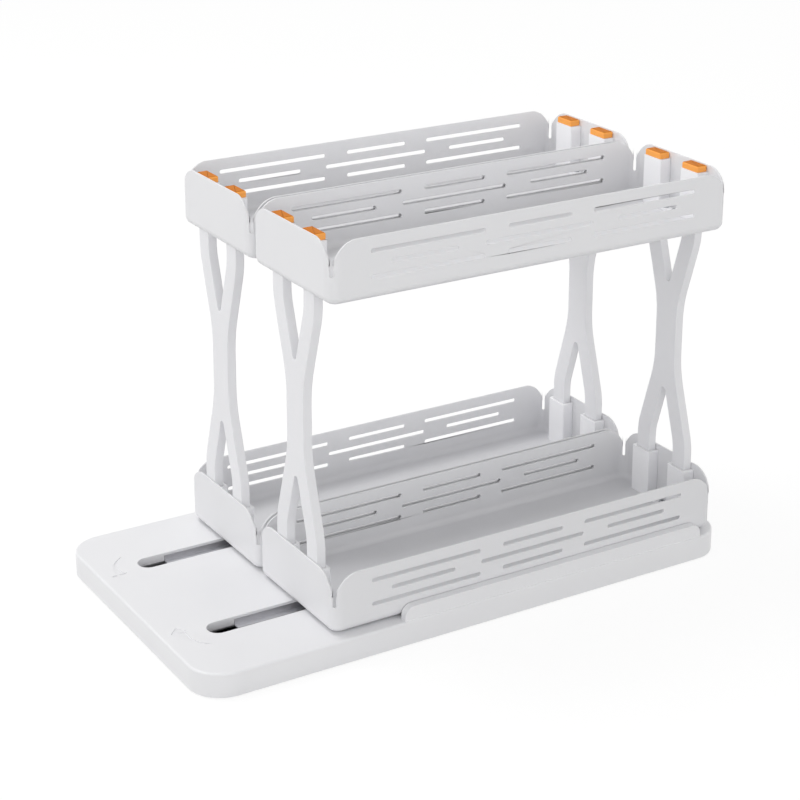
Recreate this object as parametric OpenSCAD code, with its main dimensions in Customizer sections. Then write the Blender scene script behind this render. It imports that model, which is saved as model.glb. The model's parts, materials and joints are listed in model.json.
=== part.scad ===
// Two-tier pull-out storage rack: two columns of trays that slide on one slotted base board.
// Millimetres. Z is up, Y runs to the rear, X is the near long side. The origin is the middle of the
// plane that the rubber feet stand on. The right column stands at plus X and the left one mirrors it.

/* [Base board] */
// Overall length of the base, front to rear
base_len = 400; // [340:1:460]
// Overall width of the base
base_w = 216; // [210:1:240]
// Height of the base shell without its feet
base_h = 16.2; // [15:0.1:24]
// Corner radius of the base seen from above
base_corner_r = 23; // [16:1:30]
// Small radius along the top edge of the base
base_edge_r = 1.6; // [1:0.1:1.9]
// Thickness of the base's top plate and skirt
base_wall = 2; // [2:0.1:2.6]
// How far the rubber feet stand below the cover
foot_drop = 0.8; // [0.5:0.1:2]

/* [Slots and arrows] */
// Distance from a column's middle to the middle of its slot, outward
slot_out = 1.2; // [0:0.1:2]
// Width of each slot
slot_w = 15; // [14.4:0.1:17]
// Distance from the base's front edge to the slot's front end
slot_front = 29.5; // [26:0.5:32]
// Inner radius of the curved arrow round the slot's front end
arrow_r = 21; // [20:0.5:22]
// Outer radius of the curved arrow
arrow_outer_r = 24; // [23.5:0.5:25]
// How far the outer circle is shifted towards the arrow head
arrow_shift = 4.7; // [4:0.1:5.4]
// Direction of that shift, in degrees clockwise from the outward side
arrow_shift_deg = 160; // [150:1:170]
// Angle at which the curve runs into its head, in degrees clockwise
arrow_neck_deg = 104; // [95:1:115]
// Depth that the arrows are sunk
arrow_sink = 0.6; // [0.4:0.1:0.8]
// Width of the arrow head across its barbs
arrow_head_w = 11.4; // [10:0.1:13]
// Length of the arrow head
arrow_head_len = 7; // [6:0.1:9]
// How far the head turns away from the curve, in degrees
arrow_head_deg = 10; // [0:1:20]

/* [Side lips] */
// Height of the side lip above the base's top
lip_h = 9.5; // [7:0.5:12]
// Thickness of the lip from its inner to its outer face
lip_t = 5.6; // [4.6:0.1:6.2]
// How far the lip's outer face is set back from the base's side
lip_ledge = 0.8; // [0.5:0.1:1.2]
// How far the squared ledge at the lip's foot is set back from the base's side
ledge_back = 0.2; // [0.1:0.1:0.4]
// Distance from the base's front edge to the lip's front end
lip_front = 141; // [139.6:0.5:146]
// Distance from the lip's rear end to the base's rear edge
lip_rear = 22; // [18:0.5:30]
// Radius of the lip's two top corners
lip_end_r = 7; // [4:0.5:8]
// Wall thickness of the hollow lip
lip_wall = 1.8; // [1.5:0.1:2]
// Gap between the tray's long side and the lip's inner face
lip_gap = 0.6; // [0.4:0.1:0.9]

/* [Trays] */
// Length of each tray
tray_len = 301; // [290:1:306]
// Depth of each tray from rim to underside
tray_h = 40; // [36:0.5:48]
// Sheet thickness of the trays
tray_t = 1.4; // [1:0.1:1.8]
// Outer radius of the upright corner bends
tray_corner_r = 7.6; // [6.5:0.1:9]
// Outer radius of the bottom edge bends
tray_edge_r = 5.6; // [4:0.1:6]
// Gap between the two columns
column_gap = 2; // [1.8:0.1:3]
// Distance from the base's front edge to the trays' front
tray_front = 92; // [86:1:98]
// Height of the lower tray's underside above the base's top
tray_lift = 0.8; // [0.8:0.1:1.5]
// Height from the lower tray's underside to the upper tray's underside
tier_pitch = 215.8; // [212:1:222]

/* [Tray corner notches] */
// Radius of the notch on the end panel side
notch_end_r = 17; // [14:0.5:18]
// Radius of the notch on the long side
notch_side_r = 16.5; // [13:0.5:18]
// Width of the slit at the bottom of the notch
notch_slit_w = 2; // [1.6:0.1:2.4]
// Depth of the slit's round bottom below the rim
notch_depth = 22.1; // [20:0.1:24]

/* [Tray side slots] */
// Length of a short side slot; the long ones take the rest of the panel's length
vent_short = 47.4; // [40:0.1:52]
// Distance from the tray's ends to the top and bottom rows
vent_margin = 28.3; // [25:0.1:34]
// Solid length between two slots of the top and bottom rows
vent_web = 17.5; // [12:0.1:24]
// Solid length between two slots of the middle row
vent_mid_web = 20; // [14:0.1:28]
// Height of a side slot
vent_h = 2.6; // [2:0.1:3.4]
// Height of the lowest row above the tray's underside
vent_low_z = 14.4; // [12:0.1:16]
// Distance from one row to the next
vent_pitch = 8.2; // [7:0.1:9]

/* [Uprights] */
// Thickness of an upright
upright_t = 6.4; // [5:0.1:7]
// How far the uprights stand outward from the tray's middle
upright_out = 0.8; // [0:0.1:1.5]
// Half width of an upright at its ends
upright_half_w = 26.4; // [25:0.1:28]
// Half width of an upright at its waist
waist_half_w = 10.8; // [9:0.1:11.6]
// Width of each branch, square to its own direction
branch_w = 13.2; // [12:0.1:13.6]
// Half length of the straight waist
waist_half_len = 12.2; // [9:0.1:15]
// Straight part of a leg between the upper tray's underside and its bend
leg_above = 6.1; // [3:0.1:9]
// Straight part of a leg between the lower socket's top and its bend
leg_below = 10.5; // [6:0.1:14]
// How much of the largest radii that fit the two bends of a branch have
bend_share = 0.766; // [0.68:0.001:0.84]
// What the waist's bend has of the two bends' radii together
waist_bend_share = 0.61; // [0.52:0.01:0.64]
// Radius of the rounded crotch between two branches
crotch_r = 2.4; // [1.5:0.1:3]

/* [Sockets, posts and caps] */
// Width of a socket along X
socket_w = 18.8; // [18.4:0.1:20]
// Depth of a socket from the end panel inwards
socket_d = 8.6; // [8.4:0.1:10]
// Height of a lower socket's top above the tray's underside
socket_top = 35.8; // [32:0.1:37]
// Outer radius of a socket's two upright edges
socket_edge_r = 1.2; // [0.8:0.1:1.5]
// Thickness of the foot strip that joins a pair
strip_t = 2; // [1.5:0.1:2.5]
// Depth of the post top that carries the cap's stem
post_roof = 3; // [2.5:0.1:4]
// Height of an upper post's top above the tray's underside
post_top = 35.4; // [33:0.1:36.5]
// Width of a cap
cap_w = 16.4; // [15:0.1:17.6]
// Depth of a cap
cap_d = 8; // [7:0.1:8.3]
// Height of a cap
cap_h = 4.3; // [3.6:0.1:5]
// Bevel on the cap's top edges
cap_bevel = 0.8; // [0.4:0.1:1.2]
// Width of the cap's stem
cap_stem_w = 7; // [5:0.1:8]
// Depth of the cap's stem along Y
cap_stem_d = 3; // [2:0.1:3.6]
// Length of the cap's stem below the cap
cap_stem_len = 2.6; // [2:0.1:2.9]

/* [Slide and pivot] */
// Distance from the tray's rear end to the pivot pin
pivot_back = 100; // [98:0.5:101]
// Diameter of the pivot pin
pin_d = 5; // [4.5:0.1:5.4]
// Diameter of the screw core inside the pin
pivot_screw_d = 2.6; // [2.2:0.1:3]
// Diameter of the pivot screw's head
pivot_head_d = 6; // [5.6:0.1:7]
// Height of the pivot screw's head
pivot_head_h = 1.8; // [1.5:0.1:2.2]
// Diameter of the retaining washer
keeper_d = 13.6; // [12.6:0.1:14]
// Thickness of the retaining washer
keeper_t = 1.6; // [1.2:0.1:2]
// Outer diameter of the glide ring under the tray
glide_d = 62; // [54:1:66]
// Inner diameter of the glide ring
glide_hole_d = 26; // [22:1:30]

/* [Guide rails] */
// Depth of the rail's floor below the base's top
rail_depth = 6; // [5.6:0.1:6.4]
// Sheet thickness of the rail
rail_t = 1.2; // [1:0.1:1.5]
// Distance from the slot's front end to the rail's front end
rail_front = 22.5; // [18:0.5:26]
// How far the rail runs on behind the slot's rear end
rail_rear = 6; // [4:0.5:10]
// Width of the rail's screw flanges
rail_flange = 7.5; // [6.5:0.1:8.5]
// Width of the slit in the rail's floor for the pin
rail_slit_w = 5.8; // [5.6:0.1:6.2]

/* [Bosses, ribs and feet] */
// Thickness of the ribs inside the base
rib_t = 1.5; // [1.2:0.1:2]
// Thickness of the bottom cover
cover_t = 2; // [1.8:0.1:2.2]
// Diameter of the screw bosses
boss_d = 7; // [6:0.1:8]
// Distance of the side bosses from the base's side
boss_inset = 11; // [9.5:0.5:13]
// Distance of the end bosses from the base's end
boss_end = 15; // [13:0.5:18]
// Diameter of a small screw's shank
screw_d = 2.5; // [2:0.1:3]
// Diameter of a small screw's head
screw_head_d = 5; // [4.5:0.1:5.6]
// Height of a small screw's head
screw_head_h = 1.2; // [1:0.1:1.3]
// Length of a cover screw below its head
screw_len = 5; // [4:0.1:6]
// Length of a rail screw below its head
rail_screw_len = 2.6; // [2.2:0.1:2.7]
// Length of the pivot screw in the pin
pivot_screw_len = 6; // [5:0.1:7]
// Diameter of a rubber foot
foot_d = 14; // [10:0.5:16]
// Depth of the recess that holds a foot
foot_recess = 0.8; // [0.6:0.1:1]
// Distance of the feet from the base's side
foot_inset = 26; // [24:1:30]
// Distance of the end feet from the base's end
foot_end = 36; // [32:1:42]

/* [Fits] */
// Gap between pieces that move past each other
run_gap = 0.3; // [0.3:0.05:0.4]
// Radial gap between the pin and the shoe
pin_fit = 0.05; // [0.03:0.01:0.08]
// Gap between pieces that are put together and stay put
seat_gap = 0.2; // [0.15:0.05:0.3]
// How far a cutter runs past the face it cuts
cut_over = 1; // [0.5:0.1:2]

/* [Hidden] */
$fn = 96;
top_z = foot_drop + base_h;
plate_z = top_z - base_wall;
cover_top = foot_drop + cover_t;
lower_z = top_z + tray_lift;
upper_z = lower_z + tier_pitch;
rear_y = base_len / 2;
side_x = base_w / 2;
lip_x1 = side_x - lip_ledge;
lip_x0 = lip_x1 - lip_t;
// A tray takes the room between the middle of the base and the lip
tray_w = lip_x0 - lip_gap - column_gap / 2;
col_x = column_gap / 2 + tray_w / 2;
slot_x = col_x + slot_out;
tray_y0 = -rear_y + tray_front;
tray_y1 = tray_y0 + tray_len;
tray_mid_y = (tray_y0 + tray_y1) / 2;
tray_in_y = tray_len / 2 - tray_t;
upright_y = tray_in_y - seat_gap - upright_t / 2;
slot_y0 = -rear_y + slot_front;
pivot_y = tray_y1 - pivot_back;
slot_y1 = pivot_y + slot_w / 2 + seat_gap;
shoe_d = slot_w - 2 * run_gap;
rail_z = top_z - rail_depth;
rail_y0 = slot_y0 + rail_front;
rail_y1 = slot_y1 + rail_rear;
shoe_z0 = rail_z + run_gap;
glide_t = tray_lift - run_gap;
shoe_z1 = lower_z - glide_t - run_gap;
keeper_z1 = rail_z - rail_t - run_gap;
keeper_z0 = keeper_z1 - keeper_t;
lip_y0 = -rear_y + lip_front;
lip_y1 = rear_y - lip_rear;
// The column of trays: where its uprights and screws stand
bend_clear_r = tray_edge_r - tray_t + seat_gap;
foot_z = tray_edge_r + seat_gap;
leg_x = upright_half_w - branch_w / 2;
hole_w = branch_w + 2 * run_gap;
hole_d = seat_gap + upright_t + run_gap;
strip_w = screw_head_d + 2 * seat_gap;
strip_screw_x = (leg_x - socket_w / 2) / 2;
strip_screw_y = bend_clear_r + strip_w / 2;
// A corner notch: half of the bend on each wall, and where a wall's curve meets the slit's edge
notch_reach = tray_corner_r - (tray_corner_r - tray_t / 2) * cos(45);
notch_inset = tray_corner_r * (1 - sin(45 - asin(notch_slit_w / 2 / tray_corner_r)));
notch_rise_share = 0.01;
vent_long = tray_len / 2 - vent_margin - vent_web - vent_short / 2;
// An upright fills the height between the lower sockets and the upper tray. The largest radii that
// fit leave no straight slope between the two bends of a branch
branch_top = (tier_pitch - leg_above - leg_below - socket_top) / 2;
waist_z = socket_top + leg_below + branch_top;
bend_rise = branch_top - waist_half_len;
widening = upright_half_w - waist_half_w;
bends = bend_share * (bend_rise * bend_rise + widening * widening) / (2 * widening);
waist_bend_r = waist_bend_share * bends;
branch_bend_r = bends - waist_bend_r;
slope_len = sqrt(bend_rise * bend_rise + widening * widening - 2 * bends * widening);
branch_deg = atan2(bends, slope_len) + asin((widening - bends) / norm([bends, slope_len]));
slope_x0 = waist_half_w + waist_bend_r * (1 - cos(branch_deg));
slope_z0 = waist_half_len + waist_bend_r * sin(branch_deg);
crotch_z = slope_z0 + (branch_w + crotch_r - slope_x0 * cos(branch_deg)) / sin(branch_deg);
upright_below = waist_z - foot_z;
upright_above = tier_pitch + post_top - post_roof - waist_z;
// Inside the base
rib_z0 = cover_top + seat_gap;
rib_off = slot_w / 2 + rail_t + rail_flange + boss_d / 2;
boss_x = side_x - boss_inset;
boss_y = rear_y - boss_end;
boss_shares = [-1, -0.34, 0.34, 1];
cross_rib_shares = [-0.8, -0.6, -0.2, 0, 0.2, 0.6, 0.8];
rail_screw_shares = [0.05, 0.5, 0.95];
foot_shares = [-1, 0, 1];

// Which node to draw: one of the names below, or all of them

// Half of a disc on the positive or negative X side
module half_disc(r, side) {
  intersection() {
    circle(r);
    translate([side > 0 ? 0 : -2 * r, -2 * r]) square([2 * r, 4 * r]);
  }
}

// Quarter of a disc, to the right of its centre and below it
module quarter_disc(r) {
  intersection() {
    circle(r);
    translate([0, -2 * r]) square([2 * r, 2 * r]);
  }
}

// Rectangle with round ends, lying along X
module stadium(len, wide) {
  square([len - wide, wide], center = true);
  for (side = [-1, 1]) translate([side * (len - wide) / 2, 0]) half_disc(wide / 2, side);
}

// Rectangle with four rounded corners, centred
module rounded_plan(len_x, len_y, r) {
  square([len_x - 2 * r, len_y], center = true);
  square([len_x, len_y - 2 * r], center = true);
  for (sx = [-1, 1], sy = [-1, 1])
    translate([sx * (len_x / 2 - r), sy * (len_y / 2 - r)]) mirror([0, sy > 0 ? 1 : 0])
      mirror([sx < 0 ? 1 : 0, 0]) quarter_disc(r);
}

// Foot of a wall: flat to the right edge, with its lower right corner rounded
module round_foot(wide, r, tall) {
  square([wide - r, r]);
  translate([0, r]) square([wide, tall - r]);
  translate([wide - r, r]) quarter_disc(r);
}

// Section through a wall and the floor next to it, from the corner's centre outwards
module wall_section(corner, edge, wall, tall) {
  inner = max(edge - wall, 0);
  difference() {
    round_foot(corner, edge, tall);
    if (inner > 0) translate([-cut_over, wall]) round_foot(corner - wall + cut_over, inner, tall);
    else translate([-cut_over, wall]) square([corner - wall + cut_over, tall]);
  }
}

// Open tray of sheet: rounded upright corners, rounded bottom edges, open at the top
module pan(len_x, len_y, corner, edge, wall, tall) {
  half_x = len_x / 2 - corner;
  half_y = len_y / 2 - corner;
  translate([-half_x, -half_y, 0]) cube([2 * half_x, 2 * half_y, wall]);
  for (turn = [0, 180]) rotate([0, 0, turn]) {
    translate([half_x, half_y, 0]) rotate_extrude(angle = 90) wall_section(corner, edge, wall, tall);
    translate([-half_x, half_y, 0]) rotate([0, 0, 90]) rotate_extrude(angle = 90)
      wall_section(corner, edge, wall, tall);
    translate([half_x, half_y, 0]) rotate([90, 0, 0]) linear_extrude(2 * half_y)
      wall_section(corner, edge, wall, tall);
    translate([-half_x, half_y, 0]) rotate([90, 0, 90]) linear_extrude(2 * half_x)
      wall_section(corner, edge, wall, tall);
  }
}

// Puts a right-hand piece on its side of the base: 1 is right and -1 is its mirror image
module on_side(side) {
  mirror([side < 0 ? 1 : 0, 0, 0]) children();
}

// Origin at the middle of the right column, on the underside of one of its trays
module in_column(z) {
  translate([col_x, tray_mid_y, z]) children();
}

// Origin in the uprights' middle on an end panel's inner face, with Y into the tray: -1 front, 1 rear
module at_end(end) {
  translate([upright_out, end * tray_in_y, 0]) mirror([0, end > 0 ? 1 : 0, 0]) children();
}

// Circle points from one angle to another
function arc(x, y, r, from, to, steps = 6) =
  [for (i = [0:steps]) let (a = from + (to - from) * i / steps) [x + r * cos(a), y + r * sin(a)]];

// The same points mirrored to the other side and taken backwards, from point first on
function mirrored(points, first = 0) =
  [for (i = [len(points) - 1:-1:first]) [-points[i].x, points[i].y]];

// Right edge of an upright from its waist up
function branch_edge() = concat(
  arc(waist_half_w + waist_bend_r, waist_half_len, waist_bend_r, 180, 180 - branch_deg),
  arc(upright_half_w - branch_bend_r, branch_top, branch_bend_r, -branch_deg, 0));

// Rectangle standing on the X axis with its two top corners rounded
module arch_plan(len, tall, r) {
  translate([-len / 2, 0]) square([len, tall - r]);
  translate([-len / 2 + r, tall - r]) square([len - 2 * r, r]);
  for (side = [-1, 1])
    translate([side * (len / 2 - r), tall - r]) mirror([side < 0 ? 1 : 0, 0]) mirror([0, 1]) quarter_disc(r);
}

// Screw with a flat round head below and its shank pointing up, seated at height zero
module screw(shank_d, shank_len, head_d, head_h) {
  cylinder(d = shank_d, h = shank_len);
  translate([0, 0, -head_h]) cylinder(d = head_d, h = head_h);
}

// Places of the cover screws and of the feet
module at_bosses() {
  for (x = [-boss_x, 0, boss_x], share = boss_shares) translate([x, share * boss_y, 0]) children();
}
module at_feet() {
  for (side = [-1, 1], share = foot_shares)
    translate([side * (side_x - foot_inset), share * (rear_y - foot_end), 0]) children();
}

// Places of one rail's screws
module at_rail_screws() {
  for (side = [-1, 1], share = rail_screw_shares)
    translate([slot_x + side * (slot_w / 2 + rail_t + rail_flange / 2),
      rail_y0 + share * (rail_y1 - rail_y0), 0]) children();
}

// Places of the screws that hold the foot strips to a tray floor
module at_strip_screws() {
  for (end = [-1, 1], side = [-1, 1])
    at_end(end) translate([side * strip_screw_x, strip_screw_y, 0]) children();
}

// Slot outline, grown by a margin
module slot_outline(margin) {
  translate([slot_x, (slot_y0 + slot_y1) / 2]) rotate(90)
    stadium(slot_y1 - slot_y0 + 2 * margin, slot_w + 2 * margin);
}

// Curved arrow round the slot's front end: it shows which way the column swings out
module arrow_outline() {
  far = 2 * arrow_outer_r;
  translate([slot_x, slot_y0 + slot_w / 2]) {
    intersection() {
      difference() {
        rotate(-arrow_shift_deg) translate([arrow_shift, 0]) circle(arrow_outer_r);
        circle(arrow_r);
      }
      polygon([[0, 0], [far, 0], [far, -far], [far * cos(arrow_neck_deg), -far * sin(arrow_neck_deg)]]);
    }
    rotate(-arrow_neck_deg) translate([(arrow_r + arrow_outer_r + arrow_shift) / 2, 0])
      rotate(arrow_head_deg) polygon([[-arrow_head_w / 2, 0], [0, -arrow_head_len], [arrow_head_w / 2, 0]]);
  }
}

// Hollow lip along the outer edge, which keeps the column straight until it is pulled right out
module lip(inset, side_wall, below) {
  translate([lip_x0 + side_wall, (lip_y0 + lip_y1) / 2, plate_z - below]) rotate([90, 0, 90])
    linear_extrude(lip_x1 - lip_x0 - 2 * side_wall)
      arch_plan(lip_y1 - lip_y0 - 2 * inset, top_z + lip_h - plate_z - inset + below, lip_end_r - inset);
}

// Ribs under the top plate, clear of the two slides
module base_ribs() {
  rib_h = plate_z - rib_z0;
  rib_len = base_len - base_wall;
  for (x = [slot_x - rib_off, slot_x + rib_off], side = [-1, 1])
    translate([side * x - rib_t / 2, -rib_len / 2, rib_z0]) cube([rib_t, rib_len, rib_h]);
  for (share = cross_rib_shares) {
    translate([-slot_x + rib_off, share * boss_y - rib_t / 2, rib_z0])
      cube([2 * (slot_x - rib_off), rib_t, rib_h]);
    for (side = [-1, 1]) on_side(side) translate([slot_x + rib_off, share * boss_y - rib_t / 2, rib_z0])
      cube([side_x - base_wall / 2 - slot_x - rib_off, rib_t, rib_h]);
  }
  for (y = [slot_y0 - boss_d, rail_y1 + boss_d])
    translate([-side_x + base_wall / 2, y - rib_t / 2, rib_z0]) cube([base_w - base_wall, rib_t, rib_h]);
}

module base_shell() {
  color("white") difference() {
    union() {
      translate([0, 0, top_z]) mirror([0, 0, 1])
        pan(base_w, base_len, base_corner_r, base_edge_r, base_wall, base_h);
      base_ribs();
      at_bosses() translate([0, 0, cover_top]) cylinder(d = boss_d, h = plate_z - cover_top);
      for (side = [-1, 1]) on_side(side) {
        lip(0, 0, 0);
        translate([lip_x0, lip_y0, plate_z])
          cube([side_x - ledge_back - lip_x0, lip_y1 - lip_y0, base_wall]);
        // Wall round the open front end of the slot
        translate([0, 0, rail_z]) linear_extrude(plate_z - rail_z) intersection() {
          slot_outline(rail_t);
          translate([0, -rear_y]) square([side_x, rail_y0 - seat_gap + rear_y]);
        }
      }
    }
    for (side = [-1, 1]) on_side(side) {
      translate([0, 0, rail_z - cut_over]) linear_extrude(rail_depth + 2 * cut_over) slot_outline(0);
      translate([0, 0, top_z - arrow_sink]) linear_extrude(arrow_sink + cut_over) arrow_outline();
      lip(base_wall, lip_wall, cut_over);
      at_rail_screws() translate([0, 0, plate_z - cut_over])
        cylinder(d = screw_d + seat_gap, h = cut_over + rail_screw_len - rail_t + seat_gap);
    }
    at_bosses() translate([0, 0, cover_top - cut_over])
      cylinder(d = screw_d + seat_gap, h = cut_over + screw_len);
  }
}

module base_cover() {
  edge = base_wall + seat_gap;
  color("gainsboro") translate([0, 0, foot_drop]) difference() {
    linear_extrude(cover_t) rounded_plan(base_w - 2 * edge, base_len - 2 * edge, base_corner_r - edge);
    at_bosses() {
      translate([0, 0, -cut_over]) cylinder(d = screw_d + 2 * seat_gap, h = cover_t + 2 * cut_over);
      translate([0, 0, -cut_over]) cylinder(d = screw_head_d + 2 * seat_gap, h = cut_over + screw_head_h);
    }
    at_feet() translate([0, 0, -cut_over]) cylinder(d = foot_d + 2 * seat_gap, h = cut_over + foot_recess);
  }
}

// Channel under a slot: its floor carries the column's washer and its slit guides the pin
module guide_rail(side) {
  half_w = slot_w / 2 + rail_t;
  slit_y1 = pivot_y + rail_slit_w / 2;
  color("silver") on_side(side) difference() {
    translate([slot_x, rail_y1, 0]) rotate([90, 0, 0]) linear_extrude(rail_y1 - rail_y0) {
      translate([-half_w, rail_z - rail_t]) square([2 * half_w, rail_t]);
      for (edge = [-1, 1]) mirror([edge < 0 ? 1 : 0, 0]) {
        translate([slot_w / 2, rail_z]) square([rail_t, plate_z - rail_z]);
        translate([half_w, plate_z - rail_t]) square([rail_flange, rail_t]);
      }
    }
    translate([slot_x, (rail_y0 - rail_slit_w + slit_y1) / 2, rail_z - rail_t - cut_over]) rotate([0, 0, 90])
      linear_extrude(rail_t + 2 * cut_over) stadium(slit_y1 - rail_y0 + rail_slit_w, rail_slit_w);
    at_rail_screws() translate([0, 0, rail_z]) cylinder(d = screw_d + 2 * seat_gap, h = rail_depth);
  }
}

module rail_screws() {
  color("gray") for (side = [-1, 1]) on_side(side) at_rail_screws() translate([0, 0, plate_z - rail_t])
    screw(screw_d, rail_screw_len, screw_head_d, screw_head_h);
}

module base_screws() {
  color("gray") at_bosses() translate([0, 0, foot_drop + screw_head_h])
    screw(screw_d, screw_len, screw_head_d, screw_head_h);
}

module rubber_feet() {
  color("dimgray") at_feet() cylinder(d = foot_d, h = foot_drop + foot_recess);
}

// Upper right rear corner notch: each wall's top corner is rounded off, down to a slit in the bend
module corner_notch() {
  x1 = tray_w / 2;
  y1 = tray_len / 2;
  side_z = tray_h - notch_side_r * (1 - notch_rise_share);
  end_z = tray_h - notch_end_r * (1 - notch_rise_share);
  translate([x1 - notch_reach, y1 - notch_inset - notch_side_r, side_z]) rotate([90, 0, 90])
    linear_extrude(notch_reach + cut_over) notch_profile(notch_side_r);
  translate([x1 - notch_inset - notch_end_r, y1 + cut_over, end_z]) rotate([90, 0, 0])
    linear_extrude(notch_reach + cut_over) notch_profile(notch_end_r);
  translate([x1 - tray_corner_r, y1 - tray_corner_r, tray_h - notch_depth]) rotate([0, 0, 45])
    translate([tray_edge_r - cut_over, 0, notch_slit_w / 2]) rotate([90, 0, 90])
      linear_extrude(tray_corner_r) {
        rotate(90) half_disc(notch_slit_w / 2, -1);
        translate([-notch_slit_w / 2, 0]) square([notch_slit_w, notch_depth]);
      }
}

// What a notch takes from a wall, from the centre of its curve outwards
module notch_profile(r) {
  difference() {
    square([r + notch_inset + cut_over, r + cut_over]);
    circle(r);
  }
}

// Slots through both long walls: three rows of three, long and short by turns
module vent_slots() {
  for (row = [0:2]) {
    middle = row == 1 ? vent_long : vent_short;
    outer = row == 1 ? vent_short : vent_long;
    outer_y = (middle + outer) / 2 + (row == 1 ? vent_mid_web : vent_web);
    translate([-tray_w / 2 - cut_over, 0, vent_low_z + row * vent_pitch]) rotate([90, 0, 90])
      linear_extrude(tray_w + 2 * cut_over) {
        stadium(middle, vent_h);
        for (end = [-1, 1]) translate([end * outer_y, 0]) stadium(outer, vent_h);
      }
  }
}

// Tray with what both tiers share
module tray_body() {
  difference() {
    pan(tray_w, tray_len, tray_corner_r, tray_edge_r, tray_t, tray_h);
    vent_slots();
    for (sx = [0, 1], sy = [0, 1]) mirror([sx, 0, 0]) mirror([0, sy, 0]) corner_notch();
    at_strip_screws() translate([0, 0, -cut_over])
      cylinder(d = screw_d + seat_gap, h = tray_t + 2 * cut_over);
  }
}

module lower_tray(side) {
  color("white") on_side(side) in_column(lower_z) tray_body();
}

module upper_tray(side) {
  color("white") on_side(side) in_column(upper_z) difference() {
    tray_body();
    for (end = [-1, 1], leg = [-1, 1]) at_end(end)
      translate([leg * leg_x - hole_w / 2, seat_gap / 2, -cut_over])
        cube([hole_w, hole_d - seat_gap / 2, tray_edge_r + 2 * cut_over]);
  }
}

// X-shaped upright: two branches meet in a narrow waist
module upright(side, end) {
  edge = branch_edge();
  right = concat(
    [[upright_half_w, -upright_below]], [for (i = [len(edge) - 1:-1:0]) [edge[i].x, -edge[i].y]],
    edge, [[upright_half_w, upright_above]]);
  fork = concat(
    arc(0, crotch_z, crotch_r, -90, -branch_deg),
    arc(upright_half_w - branch_bend_r, branch_top, branch_bend_r - branch_w, -branch_deg, 0),
    [[upright_half_w - branch_w, max(upright_above, upright_below) + cut_over]]);
  color("white") on_side(side) in_column(lower_z + waist_z) translate([upright_out, end * upright_y, 0])
    rotate([90, 0, 0]) linear_extrude(upright_t, center = true) difference() {
      polygon(concat(right, mirrored(right)));
      for (way = [0, 1]) mirror([0, way]) polygon(concat(fork, mirrored(fork, 1)));
    }
}

// Pair of holders for an upright's legs, open towards the end panel, with a screwed strip between them
module leg_holders(top, pocket_z0, pocket_z1) {
  difference() {
    union() {
      for (leg = [-1, 1]) translate([leg * leg_x, 0, 0]) intersection() {
        translate([0, 0, tray_t]) linear_extrude(top - tray_t) arch_plan(socket_w, socket_d, socket_edge_r);
        translate([-socket_w / 2, socket_d, tray_t]) rotate([90, 0, 90]) linear_extrude(socket_w)
          mirror([1, 0]) round_foot(socket_d, bend_clear_r, top - tray_t);
      }
      translate([socket_w / 2 - socket_edge_r - leg_x, bend_clear_r, tray_t])
        cube([2 * (leg_x + socket_edge_r) - socket_w, strip_w, strip_t]);
    }
    for (leg = [-1, 1]) translate([leg * leg_x - hole_w / 2, -cut_over, pocket_z0])
      cube([hole_w, cut_over + hole_d, pocket_z1 - pocket_z0]);
    for (side = [-1, 1]) translate([side * strip_screw_x, strip_screw_y, 0])
      cylinder(d = screw_d + 2 * seat_gap, h = tray_t + strip_t + cut_over);
  }
}

module lower_sockets(side, end) {
  color("white") on_side(side) in_column(lower_z) at_end(end)
    leg_holders(socket_top, foot_z, socket_top + cut_over);
}

module upper_posts(side, end) {
  stem_w = cap_stem_w + 2 * seat_gap;
  stem_d = cap_stem_d + 2 * seat_gap;
  stem_y = seat_gap + (cap_d - stem_d) / 2;
  color("white") on_side(side) in_column(upper_z) at_end(end) difference() {
    leg_holders(post_top, 0, post_top - post_roof);
    for (leg = [-1, 1]) translate([leg * leg_x - stem_w / 2, stem_y, post_top - post_roof - cut_over])
      cube([stem_w, stem_d, post_roof + 2 * cut_over]);
  }
}

// Face of a block with both top corners bevelled
module bevelled_face(w, h) {
  polygon([[-w / 2, 0], [w / 2, 0], [w / 2, h - cap_bevel], [w / 2 - cap_bevel, h],
    [-w / 2 + cap_bevel, h], [-w / 2, h - cap_bevel]]);
}

// Orange cap with a stem that plugs into the top of a post; leg 1 is the outer one
module cap(side, end, leg) {
  color("darkorange") on_side(side) in_column(upper_z) at_end(end)
    translate([leg * leg_x, seat_gap + cap_d / 2, post_top]) {
      intersection() {
        rotate([90, 0, 0]) linear_extrude(cap_d, center = true) bevelled_face(cap_w, cap_h);
        rotate([90, 0, 90]) linear_extrude(cap_w, center = true) bevelled_face(cap_d, cap_h);
      }
      translate([-cap_stem_w / 2, -cap_stem_d / 2, -cap_stem_len])
        cube([cap_stem_w, cap_stem_d, cap_stem_len]);
    }
}

module bracket_screws(side) {
  color("gray") on_side(side) for (z = [lower_z, upper_z]) in_column(z)
    at_strip_screws() translate([0, 0, tray_t + strip_t]) mirror([0, 0, 1])
      screw(screw_d, tray_t + strip_t, screw_head_d, screw_head_h);
}

// Origin on the pivot's axis
module at_pivot(side, z) {
  on_side(side) translate([slot_x, pivot_y, z]) children();
}

module glide_ring(side) {
  color("whitesmoke") at_pivot(side, lower_z - glide_t) difference() {
    cylinder(d = glide_d, h = glide_t);
    translate([0, 0, -cut_over]) cylinder(d = glide_hole_d, h = glide_t + 2 * cut_over);
  }
}

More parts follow.
